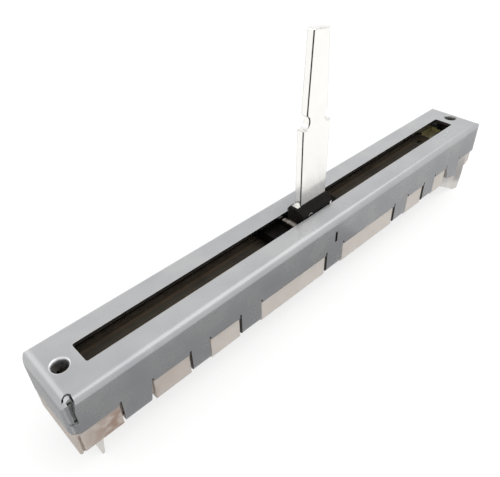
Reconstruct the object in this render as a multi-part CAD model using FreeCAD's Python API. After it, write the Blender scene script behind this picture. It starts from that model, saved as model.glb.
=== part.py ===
import FreeCAD, Part
import math
import os

# Slide potentiometer with a 60 mm travel. Millimetres, +Z up.
# X runs along the travel from the pin end to the lug end, and Y across the body.
# The origin lies under the middle of the body, level with the terminal tips.

V = FreeCAD.Vector

# Folded cover
body_width = 8.8
body_height = 8.2
sheet = 0.5
side_bend_r = 0.8
end_bend_r = 1.5
corner_r = 1.1
wall_drop = 4.85
low_corner_r = 0.9
slit_inset = 0.64
slit_width = 0.36
slit_drop = 3.45
slit_mouth = 0.7
slit_mouth_drop = 0.3
slit_taper_drop = 1.6
slit_hook = 0.4
dome_end_inset = 0.9
dome_side_inset = 0.68
dome_r = 0.3
dome_groove = 0.24
dome_groove_drop = 0.75
dome_groove_angles = (170, 130, 90, 50, 10, -45)
side_mark_width = 0.3
side_mark_top = 1.95
side_mark_length = 1.5

# Slot and the two tapped holes beside it
slot_width = 2.9
slot_end_gap = 0.2
slot_corner_r = 0.25
screw_inset = 2.25
screw_hole_r = 1.02
collar_wall = 0.35
collar_drop = 1.5

# Tabs along both side walls
tab_drop = 7.8
tab_shift = 0.6
tab_steps = {-3: 2.5, -2: 3.1, 0: 3.2, 2: 3.1, 3: 2.9}
end_tab_inset = 7.1
end_tab_steps = 4
end_tab_width = 3.6
near_tab_slant = 0.5
far_tab_slant = 0.9
far_tab_rise = 0.9
tab_foot = 1.0
tab_relief = 0.25
tab_relief_rise = 0.5

# Moulded base
base_gap = 0.05
base_recess = 0.2
near_end_recess = 0.1
far_end_recess = 0.9
far_foot_rise = 1.0
far_slope_length = 1.2
far_slope_rise = 0.7
base_edge_r = 0.3
base_corner_r = 0.4
rim_wall = 0.4
rim_rise = 0.5
core_depth = 1.6
core_rib = 1.0
core_count = 10
core_margin = 7.5
core_wall = 0.65
groove_width = 0.25
groove_depth = 0.3

# Board, tracks and printed pads
floor_drop = 3.8
board_thickness = 0.8
board_near_inset = 1.1
board_far_inset = 4.0
print_thickness = 0.05
track_edge_margin = 0.55
track_gap = 0.55
track_middle_gap = 1.0
pad_overlap = 0.6

# Terminals and their eyelets
tip_reach = 3.2
terminal_sheet = 0.4
head_margin = 0.5
head_corner = 0.2
pin_eyelet_inset = 2.3
lug_eyelet_inset = 6.3
eyelet_r = 0.36
eyelet_bore_r = 0.2
eyelet_flange_r = 0.48
eyelet_flange = 0.12
pin_leg_inset = 0.4
pin_width = 1.0
pin_tip_width = 0.25
pin_shoulder = 0.7
wiper_leg_reach = 1.6
lug_root_near = 2.0
lug_root_far = 3.7
lug_tip_near = 2.4
lug_tip_far = 3.4
lug_shoulder = 0.7
lug_corner_r = 0.25
lug_crease = 2.2
lug_bend_angle = 20
lug_margin_gap = 0.1

# Slider
travel = 60.0
slide_gap = 0.1
carriage_length = 12.4
carriage_gap = 0.15
wiper_space = 0.8
rail_gap = 0.05
rail_inset = 0.5
collar_side_gap = 0.58
rail_end_chamfer = 0.5
collar_end_gap = 0.15
boss_wall = 0.6
boss_rise = 1.4
boss_top_r = 0.15
boss_top_half = 0.65
boss_shoulder_rise = 0.5
boss_nose_length = 0.5
ledge_length = 0.45
ledge_drop = 0.75

# Lever
lever_thickness = 1.0
lever_offset = 0.25
lever_width = 4.8
lever_rise = 22.8
lever_top_fall = 0.35
lever_corner_r = 0.2
shoulder_rise = 11.75
waist_rise = 12.6
waist_r = 0.9
waist_inset = 0.15
neck_step = 0.5
lever_top_width = 2.6
root_drop = 2.6
root_extra = 0.5
root_hole_r = 0.5
foot_rise = 0.03
foot_fillet_r = 0.15
lever_edge = 0.1

# Wipers
wiper_sheet = 0.12
wiper_plate_near = 0.4
wiper_plate_far = 4.6
wiper_plate_margin = 0.1
finger_width = 0.32
finger_spread = 0.22
finger_tip_x = -3.0
finger_curl_r = 0.35
finger_gap = 0.02
peg_width = 0.6
peg_head_width = 0.95
peg_head = 0.15
peg_inset = 0.9

# Side spring
spring_sheet = 0.15
spring_length = 8.0
spring_height = 1.0
spring_bow = 0.35
spring_gap = 0.03
spring_pocket_gap = 0.1

# End stops
stop_thickness = 0.6
stop_gap = 0.2
stop_side_inset = 1.4
stop_corner = 0.3

# Lengths, levels and half sizes that follow from the values above
body_length = travel + carriage_length + 2 * (stop_gap + stop_thickness + sheet)
boss_length = lever_width + 2 * boss_wall
slot_length = travel + boss_length + 2 * slot_end_gap
cover_top = tip_reach + body_height
base_underside = tip_reach
half_length = body_length / 2
half_width = body_width / 2
inner_half_length = half_length - sheet
inner_half_width = half_width - sheet
wall_edge = cover_top - wall_drop
tab_end = cover_top - tab_drop
board_top = cover_top - floor_drop
board_underside = board_top - board_thickness
base_half_width = half_width - base_recess
core_half_width = inner_half_width - base_gap
tray_half_width = core_half_width - rim_wall
board_half_width = tray_half_width - base_gap
core_hollow_half = inner_half_width - tab_foot - base_gap - core_wall
track_width = (board_half_width - track_edge_margin - track_gap - track_middle_gap / 2) / 2
resistive_y = board_half_width - track_edge_margin - track_width / 2
collector_y = (track_middle_gap + track_width) / 2
base_near_x = -half_length + near_end_recess
base_far_x = half_length - far_end_recess
rim_top = board_top + rim_rise
board_near_x = -half_length + board_near_inset
board_far_x = half_length - board_far_inset
pin_eyelet_x = -half_length + pin_eyelet_inset
lug_eyelet_x = half_length - lug_eyelet_inset
track_near_x = pin_eyelet_x + eyelet_flange_r + pad_overlap
track_far_x = lug_eyelet_x - eyelet_flange_r - pad_overlap
print_top = board_top + print_thickness
pin_leg_y = core_half_width - pin_leg_inset
lug_leg_y = core_half_width
lug_window_far_x = lug_eyelet_x + lug_root_far + base_gap
screw_x = half_length - screw_inset
end_tab_x = half_length - end_tab_inset
tab_pitch = end_tab_x / end_tab_steps
carriage_half_length = carriage_length / 2
carriage_half_width = inner_half_width - carriage_gap
carriage_underside = board_top + wiper_space
carriage_top = cover_top - sheet - rail_gap
channel_top = cover_top - collar_drop - collar_end_gap
rail_outer_y = inner_half_width - rail_inset
rail_inner_y = screw_hole_r + collar_wall + collar_side_gap
rail_side_top = carriage_top - (carriage_half_width - rail_outer_y)
boss_half_length = boss_length / 2
boss_half_width = slot_width / 2 - slide_gap
boss_top = cover_top + boss_rise
lever_half = lever_width / 2

# How far cutting shapes reach past what they cut, and what counts as flat or as one point
beyond = 1.0
flat = 0.01
one_point = 1e-6


def placed(across, up, along, shape_plane):
    """Point of an outline drawn in one of the three planes."""
    if shape_plane == "x":
        return V(along, across, up)
    if shape_plane == "y":
        return V(across, along, up)
    return V(across, up, along)


def outline(corners, along, shape_plane):
    """Face through corners (across, up, radius), each rounded by its own radius."""
    edges = []
    stops = []
    for index, (across, up, radius) in enumerate(corners):
        here = V(across, up, 0)
        before = V(corners[index - 1][0], corners[index - 1][1], 0)
        following = corners[(index + 1) % len(corners)]
        after = V(following[0], following[1], 0)
        if radius == 0:
            stops.append((here, None, here))
            continue
        back = (before - here).normalize()
        forward = (after - here).normalize()
        half_angle = back.getAngle(forward) / 2
        setback = radius / math.tan(half_angle)
        bisector = (back + forward).normalize()
        middle = here + bisector * (radius / math.sin(half_angle) - radius)
        stops.append((here + back * setback, middle, here + forward * setback))
    for index, (start, middle, end) in enumerate(stops):
        last = stops[index - 1][2]
        if last.distanceToPoint(start) > one_point:
            edges.append(Part.LineSegment(placed(last.x, last.y, along, shape_plane),
                                          placed(start.x, start.y, along, shape_plane)).toShape())
        if middle is not None:
            edges.append(Part.Arc(placed(start.x, start.y, along, shape_plane),
                                  placed(middle.x, middle.y, along, shape_plane),
                                  placed(end.x, end.y, along, shape_plane)).toShape())
    return Part.Face(Part.Wire(edges))


def along_x(corners, x0, x1):
    return outline(corners, x0, "x").extrude(V(x1 - x0, 0, 0))


def along_y(corners, y0, y1):
    return outline(corners, y0, "y").extrude(V(0, y1 - y0, 0))


def along_z(corners, z0, z1):
    return outline(corners, z0, "z").extrude(V(0, 0, z1 - z0))


def block(x0, x1, y0, y1, z0, z1):
    return Part.makeBox(x1 - x0, y1 - y0, z1 - z0, V(x0, y0, z0))


def upright(x, y, radius, z0, z1):
    return Part.makeCylinder(radius, z1 - z0, V(x, y, z0))


def rectangle(half_across, low, high, low_r=0, high_r=0):
    """Corners of a rectangle about the middle line."""
    return [(-half_across, low, low_r), (half_across, low, low_r),
            (half_across, high, high_r), (-half_across, high, high_r)]


def mirrored(shape):
    """The same shape on the other side of the travel line."""
    return shape.mirror(V(0, 0, 0), V(0, 1, 0))


def both_sides(shape):
    return [shape, mirrored(shape)]


def folded_hull(x_half, y_half, top, low, side_r, end_r, plan_r):
    """Box with bent long edges, bent end edges and rounded upright corners."""
    across = along_x(rectangle(y_half, low, top, 0, side_r), -x_half, x_half)
    lengthwise = along_y(rectangle(x_half, low, top, 0, end_r), -y_half, y_half)
    plan = along_z(rectangle(x_half, -y_half, y_half, plan_r, plan_r), low, top)
    return across.common(lengthwise).common(plan)


def tab_places():
    """Middle, width, slant and foot of each tab along one wall."""
    places = [(-end_tab_x, end_tab_width, near_tab_slant, True)]
    for step, width in tab_steps.items():
        places.append((tab_shift + step * tab_pitch, width, 0, True))
    places.append((end_tab_x, end_tab_width, -far_tab_slant, False))
    return places


def cover_tab(middle, width, slant, has_foot):
    """Tab below one side wall, with its foot turned in under the base."""
    x0 = middle - width / 2
    x1 = middle + width / 2
    outer = -half_width
    inner = -inner_half_width
    if has_foot:
        toe = outer + sheet + tab_foot
        profile = [(outer, wall_edge, 0), (outer, tab_end, sheet), (toe, tab_end, 0),
                   (toe, tab_end + sheet, 0), (inner, tab_end + sheet, 0), (inner, wall_edge, 0)]
        tab = along_x(profile, x0, x1)
    else:
        plate = [(x0, tab_end + far_tab_rise, 0), (x1, tab_end, 0), (x1, wall_edge, 0), (x0, wall_edge, 0)]
        tab = along_y(plate, outer, inner)
    if slant:
        side = x1 if slant > 0 else x0
        wedge = [(side, wall_edge, 0), (side - slant, tab_end, 0), (side + slant, tab_end, 0)]
        tab = tab.cut(along_y(wedge, outer - beyond, inner + beyond))
    return tab


def tab_reliefs(middle, width):
    """The two narrow cuts in the wall beside a tab."""
    cuts = []
    for x0 in (middle - width / 2 - tab_relief, middle + width / 2):
        cuts.append(block(x0, x0 + tab_relief, -half_width - beyond, -inner_half_width + beyond,
                          wall_edge - beyond, wall_edge + tab_relief_rise))
    return cuts


def corner_slit():
    """Slit down the side wall beside the near flap, which hooks round the corner at its lower end."""
    left = -half_length + slit_inset
    right = left + slit_width
    mouth = left + slit_mouth
    outer = -half_length - beyond
    low = cover_top - slit_drop
    profile = [(left, cover_top + beyond, 0), (mouth, cover_top + beyond, 0),
               (mouth, cover_top - slit_mouth_drop, 0), (right, cover_top - slit_taper_drop, 0),
               (right, low, 0), (outer, low, 0), (outer, low + slit_hook, 0), (left, low + slit_hook, 0)]
    return along_y(profile, -half_width - beyond, -inner_half_width)


def dome_ring():
    """Groove that leaves a small dome standing where the near flap, the side wall and the top meet."""
    middle = V(-half_length + dome_end_inset, -half_width + dome_side_inset, 0)
    rims = []
    for radius in (dome_r, dome_r + dome_groove):
        rim = []
        for angle in dome_groove_angles:
            turn = math.radians(angle)
            rim.append((middle.x + radius * math.cos(turn), middle.y + radius * math.sin(turn), 0))
        rims.append(rim)
    return along_z(rims[0] + rims[1][::-1], cover_top - dome_groove_drop, cover_top + beyond)


def low_corner_trims():
    """What rounds the lower corners of the near flap and of the side wall beside it."""
    low = wall_edge - beyond
    high = wall_edge + low_corner_r
    kept_high = high + low_corner_r
    flap_zone = block(-half_length - beyond, -inner_half_length, -half_width - beyond,
                      -half_width + low_corner_r, low, high)
    flap_kept = along_x(rectangle(half_width, wall_edge, kept_high, low_corner_r, 0),
                        -half_length - 2 * beyond, -inner_half_length + beyond)
    wall_zone = block(-half_length - beyond, -half_length + low_corner_r, -half_width - beyond,
                      -inner_half_width, low, high)
    wall_kept = along_y(rectangle(half_length, wall_edge, kept_high, low_corner_r, 0),
                        -half_width - 2 * beyond, -inner_half_width + beyond)
    return [flap_zone.cut(flap_kept), wall_zone.cut(wall_kept)]


def far_copy(shape):
    """The same shape at the other end."""
    return shape.mirror(V(0, 0, 0), V(1, 0, 0))


def top_cover():
    outer = folded_hull(half_length, half_width, cover_top, wall_edge, side_bend_r, end_bend_r, corner_r)
    inner = folded_hull(inner_half_length, inner_half_width, cover_top - sheet, wall_edge - beyond,
                        side_bend_r - sheet, end_bend_r - sheet, 0)
    cover = outer.cut(inner)
    adds = []
    cuts = []
    for middle, width, slant, has_foot in tab_places():
        adds += both_sides(cover_tab(middle, width, slant, has_foot))
        for cut in tab_reliefs(middle, width):
            cuts += both_sides(cut)
    for x in (-screw_x, screw_x):
        adds.append(upright(x, 0, screw_hole_r + collar_wall, cover_top - collar_drop, cover_top - sheet))
        cuts.append(upright(x, 0, screw_hole_r, cover_top - collar_drop - beyond, cover_top + beyond))
    cuts += [corner_slit(), dome_ring()]
    for cut in low_corner_trims():
        for side in both_sides(cut):
            cuts += [side, far_copy(side)]
    slot = rectangle(slot_length / 2, -slot_width / 2, slot_width / 2, slot_corner_r, slot_corner_r)
    cuts.append(along_z(slot, cover_top - sheet - beyond, cover_top + beyond))
    mark_top = cover_top - side_mark_top
    cuts += both_sides(block(tab_shift - side_mark_width / 2, tab_shift + side_mark_width / 2,
                             -half_width - beyond, -inner_half_width + beyond,
                             mark_top - side_mark_length, mark_top))
    return cover.fuse(adds).cut(cuts).removeSplitter()


def base_tab_recesses():
    """Room for the tabs on the near side, and for the feet that turn in under the base."""
    cuts = []
    for middle, width, slant, has_foot in tab_places():
        x0 = middle - width / 2 - tab_relief
        x1 = middle + width / 2 + tab_relief
        cuts.append(block(x0, x1, -half_width - beyond, -core_half_width,
                          base_underside - beyond, wall_edge + beyond))
        if has_foot:
            cuts.append(block(x0, x1, -half_width - beyond, -inner_half_width + tab_foot + base_gap,
                              base_underside - beyond, tab_end + sheet + base_gap))
    return cuts


def base_cores():
    """Hollows in the underside that keep the moulding's walls even."""
    start = -half_length + core_margin
    pitch = (body_length - 2 * core_margin) / core_count
    cuts = []
    for number in range(core_count):
        x0 = start + number * pitch + core_rib / 2
        cuts.append(block(x0, x0 + pitch - core_rib, -core_hollow_half, core_hollow_half,
                          base_underside - beyond, base_underside + core_depth))
    return cuts


def lug_window():
    """Break in the base's side that leaves the lug's outer face in view."""
    return block(lug_eyelet_x - lug_root_near - base_gap, lug_window_far_x,
                 -half_width - beyond, -core_half_width, base_underside - beyond, wall_edge + beyond)


def far_undercut():
    """Step and slope under the base's far end."""
    step = base_underside + far_foot_rise
    low = base_underside - beyond
    outer = base_far_x + beyond
    slope_top = step + far_slope_rise
    profile = [(lug_window_far_x, low, 0), (outer, low, 0), (outer, slope_top, 0),
               (base_far_x, slope_top, 0), (base_far_x - far_slope_length, step, 0),
               (lug_window_far_x, step, 0)]
    return along_y(profile, -half_width, half_width)


def corner_groove():
    """Narrow upright groove at the near corner of the base."""
    top = wall_edge - base_gap - groove_width
    return block(base_near_x + groove_depth, base_near_x + groove_depth + groove_width,
                 -half_width, -base_half_width + groove_depth, base_underside - beyond, top)


def base_body():
    seat_edge = wall_edge - base_gap
    lower = along_x(rectangle(base_half_width, base_underside, seat_edge, base_edge_r, 0),
                    base_near_x, base_far_x)
    plan = along_z([(base_near_x, -base_half_width, base_corner_r),
                    (base_far_x, -base_half_width, base_corner_r),
                    (base_far_x, base_half_width, base_corner_r),
                    (base_near_x, base_half_width, base_corner_r)], base_underside, seat_edge)
    inner_x = inner_half_length - base_gap
    upper = block(-inner_x, inner_x, -core_half_width, core_half_width, seat_edge, rim_top)
    body = lower.common(plan).fuse(upper)
    cuts = [block(-inner_x + rim_wall, inner_x - rim_wall, -tray_half_width, tray_half_width,
                  board_top, rim_top + beyond),
            block(board_near_x - base_gap, board_far_x + base_gap, -tray_half_width, tray_half_width,
                  board_underside, board_top + beyond), far_undercut()]
    for cut in base_tab_recesses():
        cuts += both_sides(cut)
    cuts += both_sides(corner_groove())
    cuts += base_cores()
    for cut in terminal_pockets() + [lug_window()]:
        cuts += both_sides(cut)
    return body.cut(cuts).removeSplitter()


def resistor_board():
    board = block(board_near_x, board_far_x, -board_half_width, board_half_width,
                  board_underside, board_top)
    return board.cut(eyelet_column(eyelet_r, board_underside - beyond, board_top + beyond))


def eyelet_places():
    """Every eyelet on the near side of the travel line."""
    return [(pin_eyelet_x, -resistive_y), (pin_eyelet_x, -collector_y), (lug_eyelet_x, -resistive_y)]


def eyelet_column(radius, z0, z1):
    """Upright cylinders at all eyelets, on both sides."""
    columns = []
    for x, y in eyelet_places():
        columns += both_sides(upright(x, y, radius, z0, z1))
    return columns


def track(y, far_x):
    return block(track_near_x, far_x, y - track_width / 2, y + track_width / 2, board_top, print_top)


def track_end_pads():
    """Printed pads that run from each track's end to half way round its eyelet."""
    pads = []
    for x, y in eyelet_places():
        inner = track_near_x if x < 0 else track_far_x
        pad = block(min(x, inner), max(x, inner), y - eyelet_flange_r, y + eyelet_flange_r,
                    board_top, print_top)
        pads += both_sides(pad.cut(upright(x, y, eyelet_r, board_top - beyond, print_top + beyond)))
    return Part.makeCompound(pads)


def bent_margin(plate, reach):
    """Lug plate with its far margin folded outward along an upright crease."""
    zone = block(reach - terminal_sheet - beyond, reach + beyond, lug_crease, lug_root_far + beyond,
                 -beyond, board_underside + beyond)
    margin = plate.common(zone)
    margin = margin.cut(block(reach - terminal_sheet - beyond, reach + beyond, lug_crease - beyond,
                              lug_root_far + beyond, wall_edge - lug_margin_gap, board_underside + beyond))
    margin.rotate(V(reach - terminal_sheet, lug_crease, 0), V(0, 0, 1), -lug_bend_angle)
    return plate.cut(zone).fuse(margin)


def terminal(x, y, reach, turn, leg, is_lug):
    """Stamped terminal: a flat head under the board and a leg folded down at its outer edge."""
    head_low = board_underside - terminal_sheet
    cut_from = head_margin - head_corner
    head = along_z([(-head_margin, -cut_from, 0), (-cut_from, -head_margin, 0), (reach, -head_margin, 0),
                    (reach, head_margin, 0), (-cut_from, head_margin, 0), (-head_margin, cut_from, 0)],
                   head_low, board_underside)
    leg_plate = along_x(leg, reach - terminal_sheet, reach)
    if is_lug:
        leg_plate = bent_margin(leg_plate, reach)
    bore = upright(0, 0, eyelet_r, head_low - beyond, board_underside + beyond)
    shape = head.fuse(leg_plate).cut(bore).removeSplitter()
    shape.rotate(V(0, 0, 0), V(0, 0, 1), turn)
    shape.translate(V(x, y, 0))
    return shape


def pin_leg(top):
    """Outline of a narrow pointed pin, across and up."""
    half_root = pin_width / 2
    half_tip = pin_tip_width / 2
    shoulder = base_underside - pin_shoulder
    return [(-half_root, top, 0), (-half_root, shoulder, 0), (-half_tip, 0, 0),
            (half_tip, 0, 0), (half_root, shoulder, 0), (half_root, top, 0)]


def lug_leg(top):
    """Outline of a wide lug that tapers to a short flat tip, across and up."""
    return [(-lug_root_near, top, 0), (-lug_root_near, base_underside - lug_shoulder, 0),
            (lug_tip_near, 0, lug_corner_r), (lug_tip_far, 0, lug_corner_r),
            (lug_root_far, base_underside, 0), (lug_root_far, top, 0)]


def terminal_specs():
    """Place, reach, turn and leg of the three terminals on the near side, and which is a lug."""
    pin = pin_leg(board_underside)
    lug = lug_leg(board_underside)
    return {"1": (pin_eyelet_x, -resistive_y, pin_leg_y - resistive_y, -90, pin, False),
            "2": (pin_eyelet_x, -collector_y, wiper_leg_reach, 0, pin, False),
            "3": (lug_eyelet_x, -resistive_y, lug_leg_y - resistive_y, -90, lug, True)}


def terminal_pockets():
    """Room in the base for each head, leg and eyelet on the near side."""
    cuts = []
    for x, y, reach, turn, leg, is_lug in terminal_specs().values():
        left = min(point[0] for point in leg) - base_gap
        right = max(point[0] for point in leg) + base_gap
        head_half = head_margin + base_gap
        head = block(-head_half, reach + base_gap, -head_half, head_half,
                     board_underside - terminal_sheet - base_gap, board_underside)
        slot = block(reach - terminal_sheet - base_gap, reach + base_gap, left, right,
                     base_underside - beyond, board_underside)
        flange_low = board_underside - terminal_sheet - eyelet_flange - base_gap
        flange_half = eyelet_flange_r + base_gap
        well = block(-flange_half, flange_half, -flange_half, flange_half, flange_low, board_underside)
        pocket = head.fuse([slot, well])
        pocket.rotate(V(0, 0, 0), V(0, 0, 1), turn)
        pocket.translate(V(x, y, 0))
        cuts.append(pocket)
    return cuts


def terminal_eyelets():
    """Rolled eyelets through the pads, the board and the terminal heads."""
    low = board_underside - terminal_sheet
    wall = [(eyelet_bore_r, low - eyelet_flange, 0), (eyelet_flange_r, low, 0), (eyelet_r, low, 0),
            (eyelet_r, print_top, 0), (eyelet_flange_r, print_top, 0),
            (eyelet_bore_r, print_top + eyelet_flange, 0)]
    eyelets = []
    for x, y in eyelet_places():
        eyelet = outline(wall, 0, "y").revolve(V(0, 0, 0), V(0, 0, 1), 360)
        eyelet.translate(V(x, y, 0))
        eyelets += both_sides(eyelet)
    return Part.makeCompound(eyelets)


def lever():
    """Flat blade with two round notches above its shoulders, a tapered upper part and a wider foot."""
    shoulder = cover_top + shoulder_rise
    waist = cover_top + waist_rise
    top = cover_top + lever_rise
    root = cover_top - root_drop
    neck_half = lever_half - neck_step
    waist_out = lever_half - waist_inset
    tip_half = lever_top_width / 2
    foot_half = lever_half + root_extra
    foot_top = boss_top + foot_rise
    blade = along_y([(-lever_half, root, 0), (lever_half, root, 0),
                     (lever_half, shoulder, 0), (neck_half, shoulder, 0),
                     (tip_half, top - lever_top_fall, lever_corner_r), (-tip_half, top, lever_corner_r),
                     (-neck_half, shoulder, 0), (-lever_half, shoulder, 0)],
                    -lever_thickness / 2, lever_thickness / 2)
    cuts = []
    for x in (-waist_out, waist_out):
        notch = Part.makeCylinder(waist_r, lever_thickness + 2 * beyond,
                                  V(x, -lever_thickness / 2 - beyond, waist), V(0, 1, 0))
        below = block(x - waist_r, x + waist_r, -lever_thickness - beyond, lever_thickness + beyond,
                      waist - 2 * waist_r, shoulder)
        cuts.append(notch.cut(below))
    blade = blade.cut(cuts).removeSplitter()
    rims = [edge for edge in blade.Edges
            if edge.BoundBox.YLength < flat and edge.BoundBox.ZMax > shoulder - flat]
    blade = blade.makeChamfer(lever_edge, rims)
    foot = along_y([(-foot_half, root, root_extra), (0, root, 0), (0, foot_top + foot_fillet_r, 0),
                    (-lever_half, foot_top + foot_fillet_r, 0), (-lever_half, foot_top, foot_fillet_r),
                    (-foot_half, foot_top, 0)], -lever_thickness / 2, lever_thickness / 2)
    hole = Part.makeCylinder(root_hole_r, lever_thickness + 2 * beyond,
                             V(0, -lever_thickness / 2 - beyond, root + 2 * root_hole_r), V(0, 1, 0))
    blade = blade.fuse(foot).cut(hole).removeSplitter()
    blade.translate(V(lever_offset, 0, 0))
    return blade


def carriage_rails():
    """Cross-section of the slider's lower body: two rails beside a channel."""
    half = [(carriage_half_width, carriage_underside, 0), (carriage_half_width, rail_side_top, 0),
            (rail_outer_y, carriage_top, 0), (rail_inner_y, carriage_top, 0),
            (rail_inner_y, channel_top, 0)]
    return half + [(-across, up, radius) for across, up, radius in reversed(half)]


def slider_boss():
    """Boss that stands up through the slot, with a narrowed near end and a ledge at its foot."""
    near = -boss_half_length
    far = boss_half_length
    profile = [(near, channel_top, 0), (far, channel_top, 0), (far, boss_top, boss_top_r),
               (near, boss_top, boss_top_r)]
    nose = near + boss_nose_length
    plan = [(near, -boss_top_half, 0), (nose, -boss_half_width, 0), (far, -boss_half_width, 0),
            (far, boss_half_width, 0), (nose, boss_half_width, 0), (near, boss_top_half, 0)]
    shoulder = cover_top + boss_shoulder_rise
    section = [(-boss_half_width, channel_top, 0), (boss_half_width, channel_top, 0),
               (boss_half_width, shoulder, 0), (boss_top_half, boss_top, 0),
               (-boss_top_half, boss_top, 0), (-boss_half_width, shoulder, 0)]
    boss = along_y(profile, -boss_half_width, boss_half_width).common(along_z(plan, channel_top, boss_top))
    boss = boss.common(along_x(section, near, far))
    ledge = block(near - ledge_length, far, -boss_half_width, boss_half_width, channel_top,
                  cover_top - ledge_drop)
    return boss.fuse(ledge)


def rail_ramps():
    """Chamfers that lead the rails' ends under the cover."""
    cuts = []
    for end in (-1, 1):
        tip = end * carriage_half_length
        inner = tip - end * rail_end_chamfer
        ramp = [(inner, carriage_top, 0), (tip + end * beyond, carriage_top - rail_end_chamfer - beyond, 0),
                (tip + end * beyond, carriage_top + beyond, 0), (inner, carriage_top + beyond, 0)]
        cuts.append(along_y(ramp, -half_width, half_width))
    return cuts


def pegs(width, z0, z1):
    """The two square pegs of the near wiper, midway between its tracks."""
    half = width / 2
    y = -(resistive_y + collector_y) / 2
    return [block(x - half, x + half, y - half, y + half, z0, z1)
            for x in (wiper_plate_near + peg_inset, wiper_plate_far - peg_inset)]


def spring_low():
    """Lower edge of the leaf, which lies midway up the carriage's side."""
    return (carriage_underside + rail_side_top - spring_height) / 2


def spring_pocket():
    """Room in the carriage's far side for the leaf."""
    half = spring_length / 2 + spring_pocket_gap
    depth = spring_bow + spring_sheet + spring_pocket_gap
    low = spring_low() - spring_pocket_gap
    return block(-half, half, carriage_half_width - depth, carriage_half_width + beyond,
                 low, low + spring_height + 2 * spring_pocket_gap)


def slider_carriage():
    body = along_x(carriage_rails(), -carriage_half_length, carriage_half_length)
    body = body.cut(rail_ramps()).fuse(slider_boss())
    head_top = carriage_underside - wiper_sheet
    shafts = pegs(peg_width, head_top, carriage_underside)
    heads = pegs(peg_head_width, head_top - peg_head, head_top)
    for piece in shafts + heads:
        body = body.fuse(both_sides(piece))
    return body.cut([lever(), spring_pocket()]).removeSplitter()


def finger(y):
    """Sprung finger that runs down from the plate and curls up at its tip."""
    root = wiper_plate_near + wiper_sheet
    low = print_top + finger_gap
    curl_top = low + finger_curl_r
    curl_end = finger_tip_x - finger_curl_r
    profile = [(root, carriage_underside, 0), (finger_tip_x, low + wiper_sheet, finger_curl_r),
               (curl_end, curl_top + wiper_sheet, 0), (curl_end, curl_top, 0),
               (finger_tip_x, low, finger_curl_r + wiper_sheet),
               (root, carriage_underside - wiper_sheet, 0)]
    return along_y(profile, y - finger_width / 2, y + finger_width / 2)


def wiper():
    """Stamped spring contact that joins one resistive track to its collector track."""
    low_y = -resistive_y - track_width / 2 - wiper_plate_margin
    high_y = -collector_y + track_width / 2 + wiper_plate_margin
    shape = block(wiper_plate_near, wiper_plate_far, low_y, high_y,
                  carriage_underside - wiper_sheet, carriage_underside)
    fingers = []
    for y in (-resistive_y, -collector_y):
        for side in (-1, 1):
            fingers.append(finger(y + side * finger_spread))
    holes = pegs(peg_width, carriage_underside - 2 * wiper_sheet, carriage_underside + wiper_sheet)
    return shape.fuse(fingers).cut(holes).removeSplitter()


def side_spring():
    """Bowed leaf in the carriage's far side, which bears on the cover's wall."""
    half = spring_length / 2
    outer = inner_half_width - spring_gap
    foot = outer - spring_bow
    radius = (half ** 2 + spring_bow ** 2) / (2 * spring_bow)
    middle_y = outer - radius
    low = spring_low()
    ring = upright(0, middle_y, radius, low, low + spring_height)
    ring = ring.cut(upright(0, middle_y, radius - spring_sheet, low - beyond, low + spring_height + beyond))
    return ring.common(block(-half, half, foot - spring_sheet, outer, low, low + spring_height))


def end_stop(end):
    """Pad on the inside of an end flap."""
    stop_top = cover_top - end_bend_r
    half = inner_half_width - stop_side_inset
    inset = half - stop_corner
    profile = [(-half, rim_top, 0), (half, rim_top, 0), (half, stop_top - stop_corner, 0),
               (inset, stop_top, 0), (-inset, stop_top, 0), (-half, stop_top - stop_corner, 0)]
    shape = along_x(profile, inner_half_length - stop_thickness, inner_half_length)
    return shape if end > 0 else far_copy(shape)


def all_nodes():
    nodes = {"top_cover": top_cover(), "base_body": base_body(), "resistor_board": resistor_board(),
             "resistive_track_a": track(-resistive_y, track_far_x),
             "resistive_track_b": track(resistive_y, track_far_x),
             "collector_track_a": track(-collector_y, track_far_x),
             "collector_track_b": track(collector_y, track_far_x),
             "track_end_pads": track_end_pads(), "terminal_eyelets": terminal_eyelets()}
    for number, spec in terminal_specs().items():
        near_side = terminal(*spec)
        nodes["terminal_" + number + "a"] = near_side
        nodes["terminal_" + number + "b"] = mirrored(near_side)
    nodes["slider_carriage"] = slider_carriage()
    nodes["lever"] = lever()
    nodes["wiper_a"] = wiper()
    nodes["wiper_b"] = mirrored(wiper())
    nodes["side_spring"] = side_spring()
    nodes["end_stop_near"] = end_stop(-1)
    nodes["end_stop_far"] = end_stop(1)
    return nodes


os.makedirs("parts", exist_ok=True)
for name, shape in all_nodes().items():
    shape.exportStep("parts/" + name + ".step")
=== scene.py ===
import math

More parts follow.
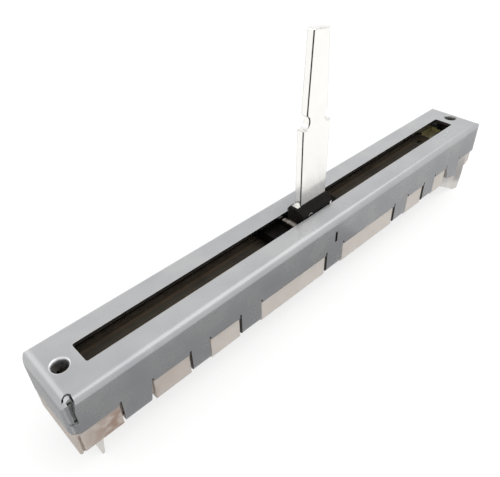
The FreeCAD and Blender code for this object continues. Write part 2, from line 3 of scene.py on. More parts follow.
import bpy
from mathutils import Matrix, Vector


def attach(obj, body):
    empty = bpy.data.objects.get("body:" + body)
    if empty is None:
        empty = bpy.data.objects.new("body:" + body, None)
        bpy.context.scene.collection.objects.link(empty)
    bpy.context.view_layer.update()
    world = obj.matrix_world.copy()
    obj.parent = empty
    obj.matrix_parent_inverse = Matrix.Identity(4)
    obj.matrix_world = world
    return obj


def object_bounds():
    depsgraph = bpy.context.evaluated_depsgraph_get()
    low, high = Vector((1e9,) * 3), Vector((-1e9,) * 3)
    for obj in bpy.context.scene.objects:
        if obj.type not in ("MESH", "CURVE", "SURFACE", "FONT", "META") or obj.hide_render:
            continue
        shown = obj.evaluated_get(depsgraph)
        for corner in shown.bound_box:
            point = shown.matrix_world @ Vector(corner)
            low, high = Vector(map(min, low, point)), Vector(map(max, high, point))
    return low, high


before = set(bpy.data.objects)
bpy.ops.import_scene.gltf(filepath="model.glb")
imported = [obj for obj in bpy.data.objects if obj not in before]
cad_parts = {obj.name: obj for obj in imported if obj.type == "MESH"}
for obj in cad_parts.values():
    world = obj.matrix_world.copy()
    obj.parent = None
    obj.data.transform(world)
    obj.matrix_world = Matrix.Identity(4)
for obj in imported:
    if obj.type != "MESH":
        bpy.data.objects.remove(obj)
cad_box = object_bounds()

# Looks of a slide potentiometer, in the model's own frame. Lengths and places below are in millimetres
# unless their name or comment says otherwise. Colours are linear red, green and blue.
MM = 0.001

# View of the photograph: place, tilt in degrees and lens
CAMERA_PLACE = (-42.97, -35.46, 51.05)
CAMERA_TILT = (51.151, 1.626, -43.864)
LENS = 37.83
SENSOR = 36.0
CLIP_NEAR = 1.0
CLIP_FAR = 10000.0

# White lamps: place, size and watts
LAMPS = {
    "long_lamp": ((130, -110, 300), (420, 240), 0.39),
    "left_lamp": ((-230, 220, 190), (160, 160), 0.087),
    "right_lamp": ((240, -200, 110), (160, 160), 0.01),
}
LAMP_TARGET = (0, 0, 8)

# White sky: the light it gives, and how bright it is in direct and mirrored views
SKY_LIGHT = 0.94
SKY_SEEN = 1.0

# Floor: half size, grey, and the glow that direct and mirrored views add to it
FLOOR_HALF = 2000.0
FLOOR_TONE = 0.33
FLOOR_GLOW = 0.69

# Cards that only reflections see: middle, half sizes, the point they face, and grey
CARDS = {
    "near_front_card": ((-19, -10.2, 0.3), (31, 4.2), (-19, -10.2, 100), 0.19),
    "far_front_card": ((43, -10.2, 0.3), (31, 4.2), (43, -10.2, 100), 0.52),
    "end_card": ((-45, 6, 0.3), (7.0, 10.0), (-45, 6, 100), 0.50),
}

# Screw holes, their rounded mouths and the threads inside them
HOLE_X = 35.25
HOLE_R = 1.018
COVER_TOP = 11.4
HOLE_DEPTH = 1.46
MOUTH_DEPTH = 0.55
CREST_R = 0.80
THREAD_PITCH = 0.45
THREAD_RISE = 0.05
THREAD_STEPS = 60
THREAD_ROWS = 56

# Sheet behind the relief at the near front corner of the cover, put there as the shade seen in the
# relief's slit
SHADE_SHEET_FAR_X = -36.26
SHADE_SHEET_LOW = 8.14
SHADE_SHEET_FRONT = -3.86
SHADE_SHEET_BACK = -3.1
SHADE_SHEET_FRONT_TOP = 10.52
SHADE_SHEET_BEND_X = -36.0
SHADE_SHEET_BEND_Z = 9.9
SHADE_SHEET_BEND_R = 0.96
SHADE_SHEET_STEPS = 8

# Zones of the cover, as ranges along axes; inside it, under its top, on the side mark and tab edges it is
# painted dark as shade
SHADED_INSIDE = {"X": (-37.03, 33.0), "Y": (-3.93, 3.93), "Z": (7.0, 10.93)}
SHADED_UNDER_TOP = {"X": (-37.03, 37.03), "Y": (-3.93, 3.93), "Z": (9.4, 10.93)}
SLOT_CUT = {"X": (-33.3, 33.3), "Y": (-1.47, 1.47), "Z": (10.85, 11.37)}
SHADED_SIDE_MARK = {"X": (0.38, 0.82), "Z": (7.9, 9.5)}
SHADED_TAB_EDGES = {"X": (-37.2, 24.0), "Z": (3.0, 7.1)}

# Zones and marks of the base: the stain's middle and reach, and where the browner tint towards the near
# end begins and is full
# The tray is painted dark as shade, and its far end painted bright olive as light falling there
TRAY = {"X": (-36.99, 33.4), "Y": (-3.9, 3.9), "Z": (7.5, 8.2)}
TRAY_FAR_END = {"X": (33.4, 36.99), "Y": (-3.9, 3.9), "Z": (7.0, 8.2)}
STAIN_PLACE = (-32.4, -4.2, 4.3)
STAIN_REACH = 4.2
STAIN_STRETCH = (0.7, 1, 1)
NEAR_END_TINT_X = (-14.0, -28.0)

# Zones and marks of the slider: the ledge painted pale as a highlight, and a curled painted highlight and
# a painted glint on its boss
LEDGE = {"X": (-3.6, -2.99), "Z": (10.5, 10.8)}
LEDGE_SOFT = 0.06
HIGHLIGHT_ARC_PLACE = (-1.10, -1.35, 11.44)
HIGHLIGHT_ARC_R = 0.31
HIGHLIGHT_ARC_WIDTH = 0.10
HIGHLIGHT_ARC_ENDS_Z = (11.48, 11.58)
GLINT_PLACE = (2.90, -1.35, 11.50)
GLINT_REACH = 0.38
GLINT_EDGE = (0.2, 0.6)

# Marks of the lever: where the grey painted reflection of the cover at its foot begins and is full
FOOT_REFLECTION_Z = (17.0, 12.6)

# How far a zone's edge is blurred
ZONE_SOFT = 0.01

# Levels of a noise between which a pattern goes from nothing to all
CLOUD_BAND = (0.3, 0.7)
PATCH_BAND = (0.35, 0.6)
STAIN_BAND = (0.34, 0.60)
SPECK_BAND = (0.62, 0.72)
RARE_BAND = (0.70, 0.74)

# Face normals: X where painted shade on a tab's edge starts and is full, and the square of X times Y
# likewise for the lever's broken corners, which are painted dark as a reflection
TAB_NORMAL = (-0.85, -0.95)
BROKEN_EDGE = (0.10, 0.22)

# Colours of the cover, and how much of the grain's shows; edges lighter as wear and painted highlight,
# dark as painted shade
COVER_GREYS = ((0.395, 0.400, 0.415), (0.455, 0.458, 0.460))
COVER_GRAIN = (0.62, 0.62, 0.63)
GRAIN_SHARE = 0.005
COVER_WEAR_AND_HIGHLIGHT = (0.72, 0.72, 0.72)
COVER_CUT = (0.34, 0.34, 0.36)
COVER_PAINTED_SHADE = (0.040, 0.037, 0.034)
TAB_EDGE_SHADE_SHARE = 0.85

# Share of metal in the cover's plated sheet and in its bare cuts, and the sheet's roughness
COVER_METAL = (0.42, 1.0)
COVER_ROUGHNESS = (0.25, 0.29)
GRAIN_ROUGHNESS = (-0.004, 0.004)

# Colours of the base, how much of the brown ones shows, and how light goes through it; the tray's are
# painted shade and light
BASE_CREAMS = ((0.74, 0.672, 0.618), (0.79, 0.736, 0.682))
BASE_NEAR_END_TINT = (0.42, 0.33, 0.27)
NEAR_END_TINT_SHARE = 0.30
BASE_STAIN = (0.34, 0.20, 0.14)
STAIN_SHARE = 0.85
BASE_SPECKS = (0.42, 0.33, 0.26)
BASE_SPECK_SHARE = 0.4
TRAY_PAINTED_SHADE = ((0.083, 0.068, 0.051), (0.128, 0.102, 0.072))
TRAY_FAR_END_PAINTED_LIGHT = ((0.95, 0.88, 0.50), (0.90, 0.80, 0.42))
BASE_ROUGHNESS = (0.42, 0.56)
BASE_CLEAR = 0.18
BASE_DEPTH = 0.6
BASE_DEPTH_RGB = (1.0, 0.8, 0.55)

# Colours of the lever, and its roughness; its foot's grey and its edges' dark are painted reflections
LEVER_SILVERS = ((0.93, 0.92, 0.885), (0.91, 0.90, 0.865))
LEVER_FOOT_REFLECTION = (0.46, 0.45, 0.43)
LEVER_DARK_EDGE_REFLECTION = (0.26, 0.25, 0.24)
LEVER_DARK_CHAMFER_REFLECTION = (0.03, 0.03, 0.03)
LEVER_ROUGHNESS = (0.12, 0.17)

# Colours of the slider, how much of the curled painted highlight shows, roughness and gloss
SLIDER_BLACKS = ((0.006, 0.0055, 0.005), (0.012, 0.011, 0.010))
SLIDER_SPECKS = (0.030, 0.027, 0.024)
LEDGE_PAINTED_HIGHLIGHT = (0.45, 0.41, 0.37)
HIGHLIGHT_ARC_GREY = (0.55, 0.55, 0.56)
HIGHLIGHT_ARC_SHARE = 0.8
GLINT_WHITE = (0.85, 0.84, 0.82)
SLIDER_ROUGHNESS = (0.42, 0.55)
SLIDER_GLOSS = 0.08

# Plated metals: bright and dull colour, stretch of the streaks, and roughness
PLATED = {
    "terminal_tin": ((0.66, 0.635, 0.61), (0.60, 0.575, 0.55), (1, 1, 0.3), (0.24, 0.34)),
    "eyelet_tin": ((0.36, 0.33, 0.27), (0.28, 0.26, 0.21), (1, 1, 1), (0.22, 0.3)),
    "wiper_alloy": ((0.80, 0.66, 0.44), (0.72, 0.58, 0.38), (0.15, 1, 1), (0.2, 0.28)),
    "spring_plating": ((0.72, 0.72, 0.73), (0.62, 0.62, 0.63), (0.15, 1, 1), (0.22, 0.3)),
    "thread_plating": ((0.76, 0.76, 0.77), (0.66, 0.66, 0.67), (1, 1, 1), (0.28, 0.36)),
    # The far hole's thread: the same plating painted darker as shade
    "thread_plating_painted_shade": ((0.44, 0.44, 0.43), (0.34, 0.34, 0.34), (1, 1, 1), (0.34, 0.44)),
    # Darker plating of the sheet that stands in for the shade in the near corner's slit
    "shade_sheet_plating": ((0.34, 0.35, 0.34), (0.26, 0.27, 0.26), (1, 1, 1), (0.35, 0.45)),
}
PLATED_GLINT = (1.0, 1.0, 1.0)
GLINT_SHARE = 0.4

# Streaks of plated metal: noise scale, detail, how much they roughen, and the bump's strength and depth
STREAK_SCALE = 5.0
STREAK_DETAIL = 3.0
STREAK_ROUGHNESS = (0.0, 0.06)
STREAK_BUMP = (0.10, 0.01)

# Matte stuffs: two colours, colour of the specks, cloud scale, roughness, metal, bump depth and gloss
SPECKLED = {
    "board_laminate": ((0.13, 0.10, 0.070), (0.195, 0.15, 0.10), (0.22, 0.18, 0.13),
                       0.3, (0.5, 0.65), 0.0, 0.02, 0.2),
    "carbon_print": ((0.088, 0.080, 0.068), (0.128, 0.111, 0.084), (0.15, 0.14, 0.11),
                     0.3, (0.5, 0.65), 0.0, 0.02, 0.2),
    "conductive_print": ((0.105, 0.090, 0.069), (0.15, 0.128, 0.090), (0.18, 0.155, 0.115),
                         0.3, (0.45, 0.6), 0.0, 0.02, 0.2),
    "silver_print": ((0.15, 0.133, 0.10), (0.21, 0.187, 0.14), (0.26, 0.235, 0.18),
                     1.2, (0.45, 0.6), 0.5, 0.02, 0.5),
    "stop_rubber": ((0.012, 0.012, 0.012), (0.022, 0.022, 0.022), (0.04, 0.04, 0.04),
                    1.0, (0.7, 0.85), 0.0, 0.05, 0.5),
}

# Fine specks: their noise scale beside the clouds', share of their colour, and bump strength
FINE_PER_CLOUD = 9
SPECK_SHARE = 0.5
SPECK_STRENGTH = 0.2

# Solids that wear the finishes of the two tables above
WORN_BY = {
    "board_laminate": ("resistor_board",),
    "carbon_print": ("resistive_track_a", "resistive_track_b"),
    "conductive_print": ("collector_track_a", "collector_track_b"),
    "silver_print": ("track_end_pads",),
    "stop_rubber": ("end_stop_near", "end_stop_far"),
    "terminal_tin": ("terminal_1a", "terminal_1b", "terminal_2a", "terminal_2b",
                     "terminal_3a", "terminal_3b"),
    "eyelet_tin": ("terminal_eyelets",),
    "wiper_alloy": ("wiper_a", "wiper_b"),
    "spring_plating": ("side_spring",),
}


class Graph:
    """Nodes of one material, with short calls for the patterns that the finishes share."""

    def __init__(self, name):
        self.material = bpy.data.materials.new(name)
        self.material.use_nodes = True
        self.nodes = self.material.node_tree.nodes
        self.links = self.material.node_tree.links
        self.shader = self.nodes["Principled BSDF"]

    def feed(self, socket, value):
        """Links an output to a socket, or sets the socket's own value."""
        if isinstance(value, bpy.types.NodeSocket):
            self.links.new(value, socket)
        elif socket.type == "RGBA":
            socket.default_value = (*value, 1)
        else:
            socket.default_value = value

    def shade(self, **values):
        """Feeds sockets of the shader, whose names have _ for a space here."""
        for name, value in values.items():
            self.feed(self.shader.inputs[name.replace("_", " ")], value)

    def coordinates(self, stretch=(1, 1, 1)):
        """Place on the object in millimetres, stretched along its axes."""
        place = self.nodes.new("ShaderNodeTexCoord")
        mapping = self.nodes.new("ShaderNodeMapping")
        self.links.new(place.outputs["Object"], mapping.inputs["Vector"])
        mapping.inputs["Scale"].default_value = [factor / MM for factor in stretch]
        return mapping.outputs["Vector"]

    def noise(self, scale, detail=2.0, stretch=(1, 1, 1)):
        noise = self.nodes.new("ShaderNodeTexNoise")
        self.feed(noise.inputs["Vector"], self.coordinates(stretch))
        self.feed(noise.inputs["Scale"], scale)
        self.feed(noise.inputs["Detail"], detail)
        return noise.outputs["Fac"]

    def ramp(self, value, low, high, to_low=0.0, to_high=1.0, smooth=False):
        """Value brought from one range to another."""
        ramp = self.nodes.new("ShaderNodeMapRange")
        ramp.interpolation_type = "SMOOTHSTEP" if smooth else "LINEAR"
        self.feed(ramp.inputs["Value"], value)
        self.feed(ramp.inputs["From Min"], low)
        self.feed(ramp.inputs["From Max"], high)
        self.feed(ramp.inputs["To Min"], to_low)
        self.feed(ramp.inputs["To Max"], to_high)
        return ramp.outputs["Result"]

    def clouds(self, noise, low=0.0, high=1.0):
        """Noise spread softly from one level to another."""
        return self.ramp(noise, *CLOUD_BAND, low, high)

    def patches(self, scale, detail, low, high):
        """Patches of a new noise, from one level between them to another within."""
        return self.ramp(self.noise(scale, detail), *PATCH_BAND, low, high)

    def math(self, operation, first, second=0.0):
        node = self.nodes.new("ShaderNodeMath")
        node.operation = operation
        self.feed(node.inputs[0], first)
        self.feed(node.inputs[1], second)
        return node.outputs[0]

    def product(self, first, second):
        return self.math("MULTIPLY", first, second)

    def greatest(self, first, *others):
        for other in others:
            first = self.math("MAXIMUM", first, other)
        return first

    def mix(self, factor, first, second):
        node = self.nodes.new("ShaderNodeMix")
        node.data_type = "RGBA"
        self.feed(node.inputs["Factor"], factor)
        self.feed(node.inputs["A"], first)
        self.feed(node.inputs["B"], second)
        return node.outputs["Result"]

    def split(self, vector):
        """X, Y and Z of a vector, by name."""
        node = self.nodes.new("ShaderNodeSeparateXYZ")
        self.links.new(vector, node.inputs[0])
        return node.outputs

    def flat_normal(self):
        """Normal of the face itself, without smoothing."""
        return self.nodes.new("ShaderNodeNewGeometry").outputs["True Normal"]

    def along(self, axis, low, high):
        """0 at one level of an axis and 1 at another."""
        return self.ramp(self.split(self.coordinates())[axis], low, high, smooth=True)

    def edges(self, radius, sharp=0.8):
        """1 along sharp edges and 0 on flat faces."""
        bevel = self.nodes.new("ShaderNodeBevel")
        self.feed(bevel.inputs["Radius"], radius * MM)
        dot = self.nodes.new("ShaderNodeVectorMath")
        dot.operation = "DOT_PRODUCT"
        self.links.new(bevel.outputs["Normal"], dot.inputs[0])
        self.links.new(self.flat_normal(), dot.inputs[1])
        return self.ramp(dot.outputs["Value"], 1.0, sharp, smooth=True)

    def away(self, place, stretch=(1, 1, 1)):
        """Distance from a place on the object."""
        away = self.nodes.new("ShaderNodeVectorMath")
        away.operation = "DISTANCE"
        self.feed(away.inputs[0], self.coordinates(stretch))
        away.inputs[1].default_value = [place[axis] * stretch[axis] for axis in range(3)]
        return away.outputs["Value"]

    def near(self, place, reach, stretch=(1, 1, 1)):
        """1 at a place on the object, falling to 0 at a reach."""
        return self.ramp(self.away(place, stretch), reach, 0.0, smooth=True)

    def zone(self, limits, soft=ZONE_SOFT):
        """1 inside a box given by limits along some axes."""
        place = self.split(self.coordinates())
        inside = None
        for axis, (low, high) in limits.items():
            above = self.ramp(place[axis], low - soft, low + soft)
            within = self.product(above, self.ramp(place[axis], high + soft, high - soft))
            inside = within if inside is None else self.product(inside, within)
        return inside

    def bump(self, height, strength, depth):
        bump = self.nodes.new("ShaderNodeBump")
        self.feed(bump.inputs["Height"], height)
        self.feed(bump.inputs["Strength"], strength)
        self.feed(bump.inputs["Distance"], depth * MM)
        self.links.new(bump.outputs["Normal"], self.shader.inputs["Normal"])

    def streaked_metal(self, colour, clouds, lines, roughness):
        """Bare metal of a colour, roughened by clouds and by streaks."""
        rough = self.math("ADD", self.clouds(clouds, *roughness), self.clouds(lines, *STREAK_ROUGHNESS))
        self.shade(Base_Color=colour, Metallic=1.0, Roughness=rough)
        self.bump(lines, *STREAK_BUMP)


def cover_finish():
    """Satin grey plated sheet, a little mottled, edges lighter as wear and painted highlight, bare cuts,
    painted shade.
    """
    g = Graph("cover_finish")
    clouds = g.noise(scale=0.22, detail=3.0)
    grain = g.noise(scale=4.0, stretch=(0.25, 1, 1))
    colour = g.mix(g.clouds(clouds), *COVER_GREYS)
    colour = g.mix(g.clouds(grain, high=GRAIN_SHARE), colour, COVER_GRAIN)
    # Edges painted lighter, partly as wear and partly as a painted highlight
    wear_and_highlight = g.product(g.edges(radius=0.10), g.patches(scale=1.6, detail=2.0, low=0.25, high=1.0))
    colour = g.mix(wear_and_highlight, colour, COVER_WEAR_AND_HIGHLIGHT)
    cut = g.zone(SLOT_CUT)
    colour = g.mix(cut, colour, COVER_CUT)
    # Painted shade: inside the cover, under its top, the side mark and the near-facing tab edges are
    # coloured near black
    towards_end = g.ramp(g.split(g.flat_normal())["X"], *TAB_NORMAL, to_high=TAB_EDGE_SHADE_SHARE)
    shaded_tab_edges = g.product(g.zone(SHADED_TAB_EDGES), towards_end)
    painted_shade = g.greatest(g.zone(SHADED_INSIDE), g.zone(SHADED_UNDER_TOP), g.zone(SHADED_SIDE_MARK), shaded_tab_edges)
    colour = g.mix(painted_shade, colour, COVER_PAINTED_SHADE)
    rough = g.math("ADD", g.clouds(clouds, *COVER_ROUGHNESS), g.clouds(grain, *GRAIN_ROUGHNESS))
    g.shade(Base_Color=colour, Metallic=g.ramp(cut, 0.0, 1.0, *COVER_METAL), Roughness=rough)
    g.bump(grain, strength=0.02, depth=0.01)
    return g.material


def base_finish():
    """Cream moulded plastic, slightly translucent, browner near one end, brown flux stain, painted shade
    and light in the tray.
    """
    g = Graph("base_finish")
    clouds = g.noise(scale=0.35, detail=3.0)
    colour = g.mix(g.clouds(clouds), *BASE_CREAMS)
    # Darker and browner towards the near end
    colour = g.mix(g.product(g.along("X", *NEAR_END_TINT_X), NEAR_END_TINT_SHARE), colour, BASE_NEAR_END_TINT)
    blots = g.ramp(g.noise(scale=0.9, detail=4.0), *STAIN_BAND, smooth=True)
    stain = g.product(g.near(STAIN_PLACE, STAIN_REACH, STAIN_STRETCH), blots)
    colour = g.mix(g.product(stain, STAIN_SHARE), colour, BASE_STAIN)
    specks = g.ramp(g.noise(scale=5.0, detail=1.0), *RARE_BAND, to_high=BASE_SPECK_SHARE)
    colour = g.mix(specks, colour, BASE_SPECKS)
    # Painted shade over the tray inside the slot, and painted light on its far end
    painted_shading = g.clouds(g.noise(scale=0.6, detail=3.0))
    colour = g.mix(g.zone(TRAY), colour, g.mix(painted_shading, *TRAY_PAINTED_SHADE))
    colour = g.mix(g.zone(TRAY_FAR_END), colour, g.mix(painted_shading, *TRAY_FAR_END_PAINTED_LIGHT))
    g.shade(Base_Color=colour, Roughness=g.clouds(clouds, *BASE_ROUGHNESS))
    g.shade(Subsurface_Weight=BASE_CLEAR, Subsurface_Scale=BASE_DEPTH * MM)
    g.shade(Subsurface_Radius=BASE_DEPTH_RGB)
    g.bump(g.noise(scale=6.0), strength=0.08, depth=0.02)
    return g.material


def lever_finish():
    """Bright plated blade, with painted dark reflections along its edges and a grey painted reflection
    near the slot.
    """
    g = Graph("lever_plating")
    lines = g.noise(STREAK_SCALE, STREAK_DETAIL, stretch=(1, 1, 0.12))
    clouds = g.noise(scale=0.5)
    colour = g.mix(g.clouds(clouds), *LEVER_SILVERS)
    # Painted reflection: the blade is greyed near the slot, where it mirrors the cover
    painted_shading = g.product(g.along("Z", *FOOT_REFLECTION_Z), g.clouds(g.noise(scale=0.8, detail=3.0), low=0.42, high=0.64))
    colour = g.mix(painted_shading, colour, LEVER_FOOT_REFLECTION)
    uneven = g.patches(scale=1.8, detail=2.0, low=0.35, high=0.8)
    # Painted reflection: the blade's edges are darkened unevenly
    dark_edge_reflection = g.product(g.edges(radius=0.16, sharp=0.92), uneven)
    colour = g.mix(dark_edge_reflection, colour, LEVER_DARK_EDGE_REFLECTION)
    # Painted reflection: the chamfers on the blade's corners are coloured near black
    normal = g.split(g.flat_normal())
    slant = g.product(normal["X"], normal["Y"])
    colour = g.mix(g.ramp(g.product(slant, slant), *BROKEN_EDGE), colour, LEVER_DARK_CHAMFER_REFLECTION)
    g.streaked_metal(colour, clouds, lines, LEVER_ROUGHNESS)
    return g.material


def slider_finish():
    """Black moulded plastic, with painted highlights on the ledge at the boss's foot and on the boss, and
    a painted glint.
    """
    g = Graph("slider_plastic")
    clouds = g.noise(scale=0.8, detail=4.0)
    fine = g.noise(scale=7.0)
    colour = g.mix(g.clouds(clouds), *SLIDER_BLACKS)
    colour = g.mix(g.ramp(fine, *SPECK_BAND, to_high=SPECK_SHARE), colour, SLIDER_SPECKS)
    # Painted highlight: the ledge at the boss's foot is coloured pale
    wear_and_highlight = g.product(g.zone(LEDGE, LEDGE_SOFT), g.patches(scale=1.5, detail=3.0, low=0.35, high=1.0))
    colour = g.mix(wear_and_highlight, colour, LEDGE_PAINTED_HIGHLIGHT)
    # Painted highlight: a curled pale arc on the boss
    off_arc = g.math("ABSOLUTE", g.math("SUBTRACT", g.away(HIGHLIGHT_ARC_PLACE), HIGHLIGHT_ARC_R))
    highlight_arc = g.product(g.ramp(off_arc, HIGHLIGHT_ARC_WIDTH, 0.0), g.along("Z", *HIGHLIGHT_ARC_ENDS_Z))
    colour = g.mix(g.product(highlight_arc, HIGHLIGHT_ARC_SHARE), colour, HIGHLIGHT_ARC_GREY)
    # Painted glint: a white spot at the boss's far front corner
    glint = g.ramp(g.near(GLINT_PLACE, GLINT_REACH), *GLINT_EDGE)
    colour = g.mix(glint, colour, GLINT_WHITE)
    g.shade(Base_Color=colour, Roughness=g.clouds(clouds, *SLIDER_ROUGHNESS))
    g.shade(Specular_IOR_Level=SLIDER_GLOSS)
    g.bump(fine, SPECK_STRENGTH, depth=0.02)
    return g.material


def plated_finish(name):
    """Bright plated metal with streaks along one direction."""
    bright, dull, streak, roughness = PLATED[name]
    g = Graph(name)
    lines = g.noise(STREAK_SCALE, STREAK_DETAIL, streak)
    clouds = g.noise(scale=0.5)
    colour = g.mix(g.clouds(clouds), bright, dull)
    colour = g.mix(g.product(g.edges(radius=0.06), GLINT_SHARE), colour, PLATED_GLINT)
    g.streaked_metal(colour, clouds, lines, roughness)
    return g.material


def speckled_finish(name):
    """Matte stuff with soft clouds and fine specks."""
    first, second, specks, scale, roughness, metal, depth, gloss = SPECKLED[name]
    g = Graph(name)
    clouds = g.noise(scale, detail=4.0)
    fine = g.noise(scale * FINE_PER_CLOUD)
    colour = g.mix(g.clouds(clouds), first, second)
    colour = g.mix(g.ramp(fine, *SPECK_BAND, to_high=SPECK_SHARE), colour, specks)
    g.shade(Base_Color=colour, Metallic=metal, Specular_IOR_Level=gloss)
    g.shade(Roughness=g.clouds(clouds, *roughness))
    g.bump(fine, SPECK_STRENGTH, depth)
    return g.material


def dress(material, *names):
    for name in names:
        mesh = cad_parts[name].data
        mesh.materials.clear()
        mesh.materials.append(material)


def dress_all():
    dress(cover_finish(), "top_cover")
    dress(base_finish(), "base_body")
    dress(lever_finish(), "lever")
    dress(slider_finish(), "slider_carriage")
    for finish, names in WORN_BY.items():
        dress(plated_finish(finish) if finish in PLATED else speckled_finish(finish), *names)


def show(name, data):
    """Puts a new object with its data into the scene."""
    added = bpy.data.objects.new(name, data)
    bpy.context.scene.collection.objects.link(added)
    return added


def look_at(obj, target):
    obj.rotation_euler = (Vector(target) * MM - obj.location).to_track_quat("-Z", "Y").to_euler()


def add_piece(name, points, faces, material, smooth=True):
    mesh = bpy.data.meshes.new(name)
    mesh.from_pydata([tuple(value * MM for value in point) for point in points], [], faces)
    mesh.update()
    for face in mesh.polygons:
        face.use_smooth = smooth
    mesh.materials.append(material)
    return show(name, mesh)


def add_sheet(name, half_x, half_y, material):
    """Flat rectangle round its own middle."""
    corners = [(-half_x, -half_y, 0), (half_x, -half_y, 0), (half_x, half_y, 0), (-half_x, half_y, 0)]
    return add_piece(name, corners, [(0, 1, 2, 3)], material, smooth=False)


def bore_radius(depth, turn):
    """Radius of a screw hole at a depth below the cover's top and a share of a full turn."""
    if depth < MOUTH_DEPTH:
        rise = 1 - depth / MOUTH_DEPTH
        return CREST_R + (HOLE_R - CREST_R) * (1 - math.sqrt(1 - rise ** 2))
    turns_down = (depth - MOUTH_DEPTH) / THREAD_PITCH
    phase = (turns_down - turn) % 1.0
    return CREST_R + THREAD_RISE * min(1.0, turns_down) * (1 - abs(2 * phase - 1))


def add_threads(near_finish, far_finish):
    """Rounded mouth and thread of the two screw holes; the far thread's plating is painted darker as
    shade.
    """
    for end, x, finish in (("near", -HOLE_X, near_finish), ("far", HOLE_X, far_finish)):
        points = []
        faces = []
        for row in range(THREAD_ROWS + 1):
            depth = HOLE_DEPTH * row / THREAD_ROWS
            for step in range(THREAD_STEPS):
                turn = step / THREAD_STEPS
                angle = 2 * math.pi * turn
                radius = bore_radius(depth, turn)
                points.append((x + radius * math.cos(angle), radius * math.sin(angle), COVER_TOP - depth))
        for row in range(THREAD_ROWS):
            here = row * THREAD_STEPS
            below = here + THREAD_STEPS
            for step in range(THREAD_STEPS):
                following = (step + 1) % THREAD_STEPS
                faces.append((here + following, here + step, below + step, below + following))
        thread = add_piece(end + "_screw_thread", points, faces, finish)
        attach(thread, "housing")


def add_corner_shade_sheet(finish):
    """Darker sheet behind the relief at the cover's near front corner, put there as the shade in its
    slit.
    """
    sweep = math.acos((SHADE_SHEET_BEND_X - SHADE_SHEET_FAR_X) / SHADE_SHEET_BEND_R)
    rim = [(SHADE_SHEET_FAR_X, SHADE_SHEET_LOW), (SHADE_SHEET_BEND_X - SHADE_SHEET_BEND_R, SHADE_SHEET_LOW)]
    for step in range(SHADE_SHEET_STEPS + 1):
        angle = sweep * step / SHADE_SHEET_STEPS
        x = SHADE_SHEET_BEND_X - SHADE_SHEET_BEND_R * math.cos(angle)
        z = SHADE_SHEET_BEND_Z + SHADE_SHEET_BEND_R * math.sin(angle)
        rim.append((x, z))
    count = len(rim)
    points = [(x, SHADE_SHEET_FRONT, min(z, SHADE_SHEET_FRONT_TOP)) for x, z in rim]
    points += [(x, SHADE_SHEET_FRONT + max(0, z - SHADE_SHEET_FRONT_TOP), z) for x, z in rim]
    points += [(x, SHADE_SHEET_BACK, z) for x, z in rim]
    faces = [tuple(range(count))[::-1], tuple(range(2 * count, 3 * count))]
    for level in (0, count):
        for index in range(count):
            here = level + index
            following = level + (index + 1) % count
            faces.append((here, following, count + following, count + here))
    shade_sheet = add_piece("near_corner_shade_sheet", points, faces, finish, smooth=False)
    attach(shade_sheet, "housing")


def add_camera():
    data = bpy.data.cameras.new("photo_camera")
    data.lens = LENS
    data.sensor_width = SENSOR
    data.clip_start = CLIP_NEAR * MM
    data.clip_end = CLIP_FAR * MM
    camera = show("photo_camera", data)
    camera.location = Vector(CAMERA_PLACE) * MM
    camera.rotation_euler = [math.radians(angle) for angle in CAMERA_TILT]
    bpy.context.scene.camera = camera


def add_lamps():
    for name, (place, size, watts) in LAMPS.items():
        data = bpy.data.lights.new(name, "AREA")
        data.shape = "RECTANGLE"
        data.size = size[0] * MM
        data.size_y = size[1] * MM
        data.energy = watts
        lamp = show(name, data)
        lamp.location = Vector(place) * MM
        look_at(lamp, LAMP_TARGET)


def seen_directly(nodes, links):
    """1 for camera, glossy and transmission rays, and 0 for the rest."""
    path = nodes.new("ShaderNodeLightPath")
    seen = path.outputs["Is Camera Ray"]
    for kind in ("Is Glossy Ray", "Is Transmission Ray"):
        either = nodes.new("ShaderNodeMath")
        either.operation = "MAXIMUM"
        links.new(seen, either.inputs[0])
        links.new(path.outputs[kind], either.inputs[1])
        seen = either.outputs[0]
    return seen


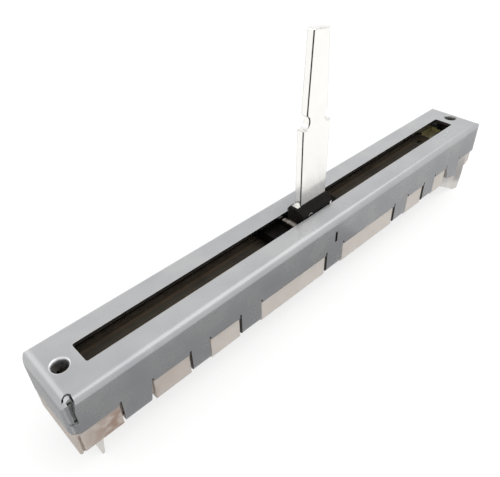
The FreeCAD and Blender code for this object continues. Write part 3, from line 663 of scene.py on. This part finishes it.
def add_sky():
    world = bpy.data.worlds.new("white_sky")
    bpy.context.scene.world = world
    world.use_nodes = True
    nodes, links = world.node_tree.nodes, world.node_tree.links
    background = nodes["Background"]
    background.inputs["Color"].default_value = (1, 1, 1, 1)
    strength = nodes.new("ShaderNodeMapRange")
    links.new(seen_directly(nodes, links), strength.inputs["Value"])
    strength.inputs["To Min"].default_value = SKY_LIGHT
    strength.inputs["To Max"].default_value = SKY_SEEN
    links.new(strength.outputs["Result"], background.inputs["Strength"])


def paper(name):
    """Material with only an output, and its nodes, links and surface socket."""
    material = bpy.data.materials.new(name)
    material.use_nodes = True
    nodes, links = material.node_tree.nodes, material.node_tree.links
    nodes.clear()
    return material, nodes, links, nodes.new("ShaderNodeOutputMaterial").inputs["Surface"]


def add_floor():
    material, nodes, links, surface = paper("floor_paper")
    diffuse = nodes.new("ShaderNodeBsdfDiffuse")
    diffuse.inputs["Color"].default_value = (FLOOR_TONE, FLOOR_TONE, FLOOR_TONE, 1)
    strength = nodes.new("ShaderNodeMath")
    strength.operation = "MULTIPLY"
    links.new(seen_directly(nodes, links), strength.inputs[0])
    strength.inputs[1].default_value = FLOOR_GLOW
    glow = nodes.new("ShaderNodeEmission")
    links.new(strength.outputs[0], glow.inputs["Strength"])
    both = nodes.new("ShaderNodeAddShader")
    links.new(diffuse.outputs[0], both.inputs[0])
    links.new(glow.outputs[0], both.inputs[1])
    links.new(both.outputs[0], surface)
    floor = add_sheet("floor", FLOOR_HALF, FLOOR_HALF, material)
    floor.location = (0, 0, cad_box[0][2])


def add_cards():
    for name, (middle, half, target, tone) in CARDS.items():
        material, nodes, links, surface = paper(name + "_paper")
        glow = nodes.new("ShaderNodeEmission")
        glow.inputs["Color"].default_value = (tone, tone, tone, 1)
        links.new(glow.outputs[0], surface)
        card = add_sheet(name, *half, material)
        card.location = Vector(middle) * MM
        look_at(card, target)
        card.visible_camera = False
        card.visible_diffuse = False
        card.visible_transmission = False
        card.visible_shadow = False


dress_all()
# The far hole's thread wears plating painted darker as shade
add_threads(plated_finish("thread_plating"), plated_finish("thread_plating_painted_shade"))
# A darker sheet behind the near corner's relief stands in for its shade
add_corner_shade_sheet(plated_finish("shade_sheet_plating"))
add_camera()
add_lamps()
add_sky()
add_floor()
add_cards()
bpy.context.scene.view_settings.view_transform = "Standard"
